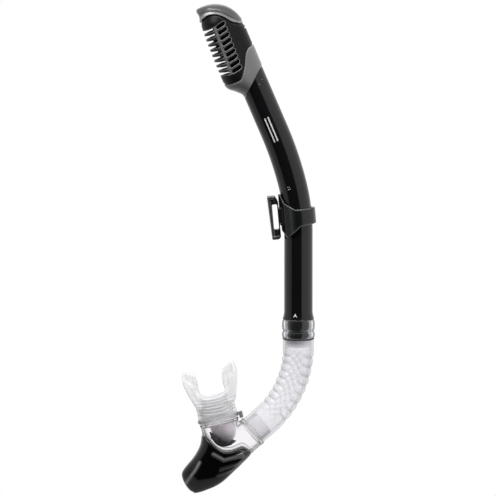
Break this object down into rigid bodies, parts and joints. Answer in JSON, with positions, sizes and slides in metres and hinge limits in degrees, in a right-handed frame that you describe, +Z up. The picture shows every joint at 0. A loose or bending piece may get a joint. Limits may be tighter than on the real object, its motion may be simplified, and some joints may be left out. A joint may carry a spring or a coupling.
{
  "type": "snorkel tube",
  "caption": "Dry-top snorkel: curved barrel with a louvred float-valve head, strap keeper, swivelling ribbed hose, purge housing and mouthpiece.",
  "frame": {"origin": "centre of the strap slot in the keeper's clip, where a mask strap holds the snorkel", "axes": "+Z up along the straight foot of the barrel, -X towards the mouthpiece, Y = 0 is the plane of symmetry"},
  "size_m": [0.1236, 0.0344, 0.45],
  "materials": {
    "barrel_black": "gloss",
    "guard_black": "satin",
    "cap_grey": "satin",
    "inner_black": "satin",
    "float_grey": "matt",
    "lever_white": "satin",
    "silicone_clear": "soft translucent",
    "silicone_white": "soft",
    "silicone_black": "soft",
    "keeper_black": "satin",
    "collar_smoke": "gloss translucent",
    "housing_clear": "clear",
    "chamber_grey": "satin",
    "cover_black": "gloss",
    "steel": "bright"
  },
  "bodies": {
    "barrel": {"barrel_tube": "barrel_black", "head_base": "inner_black", "head_o_ring": "silicone_black", "valve_seat": "silicone_white", "pivot_pin": "steel", "louvre_guard": "guard_black", "top_cap": "cap_grey", "lower_cowl": "cap_grey"},
    "float": {"float": "float_grey"},
    "lever": {"valve_lever": "lever_white", "seal_disc": "silicone_white"},
    "liner": {"keeper_liner": "silicone_black"},
    "keeper": {"keeper_band": "keeper_black"},
    "clip": {"strap_clip": "keeper_black"},
    "swivel": {"swivel_spigot": "collar_smoke", "swivel_o_ring": "silicone_black", "swivel_collar": "collar_smoke", "collar_ring": "guard_black", "hose": "silicone_clear"},
    "mouth_unit": {"housing": "housing_clear", "purge_chamber": "chamber_grey", "purge_gasket": "silicone_black", "purge_cover": "cover_black", "mouthpiece": "silicone_clear", "mouthpiece_tie": "silicone_clear", "tie_lock": "inner_black"},
    "purge_valve": {"purge_diaphragm": "silicone_black"}
  },
  "joints": [
    {"name": "hose_swivel", "type": "hinge", "parent": "barrel", "child": "swivel", "pos_m": [0.02104, 0, -0.09418], "axis": [0, 0, 1], "continuous": true},
    {"name": "hose_bend", "type": "hinge", "parent": "swivel", "child": "mouth_unit", "pos_m": [0.02104, 0, -0.1612], "axis": [0, -1, 0], "range_deg": [-20, 45], "stiffness_Nm_per_rad": 1, "deforming": ["hose"]},
    {"name": "keeper_travel", "type": "hinge", "parent": "barrel", "child": "liner", "pos_m": [-0.15796, 0, -0.01418], "axis": [0, -1, 0], "range_deg": [-3, 6.4]},
    {"name": "keeper_turn", "type": "hinge", "parent": "liner", "child": "keeper", "pos_m": [0.02032, 0, 0.00182], "axis": [-0.0894, 0, 0.996], "range_deg": [-90, 90]},
    {"name": "clip_release", "type": "slide", "parent": "keeper", "child": "clip", "axis": [0.0894, 0, -0.996], "range_m": [0, 0.014]},
    {"name": "float_lift", "type": "slide", "parent": "barrel", "child": "float", "axis": [-0.3955, 0, 0.9184], "range_m": [0, 0.0032]},
    {"name": "valve_swing", "type": "hinge", "parent": "barrel", "child": "lever", "pos_m": [-0.05113, 0, 0.17077], "axis": [0, 1, 0], "range_deg": [0, 28]},
    {"name": "purge_open", "type": "slide", "parent": "mouth_unit", "child": "purge_valve", "axis": [-0.3123, 0, -0.95], "range_m": [0, 0.0024], "stiffness_N_per_m": 20, "springref_m": -0.0005}
  ],
  "couplings": [
    {"joint": "valve_swing", "follows": "float_lift", "rad_per_m": 152.72}
  ]
}
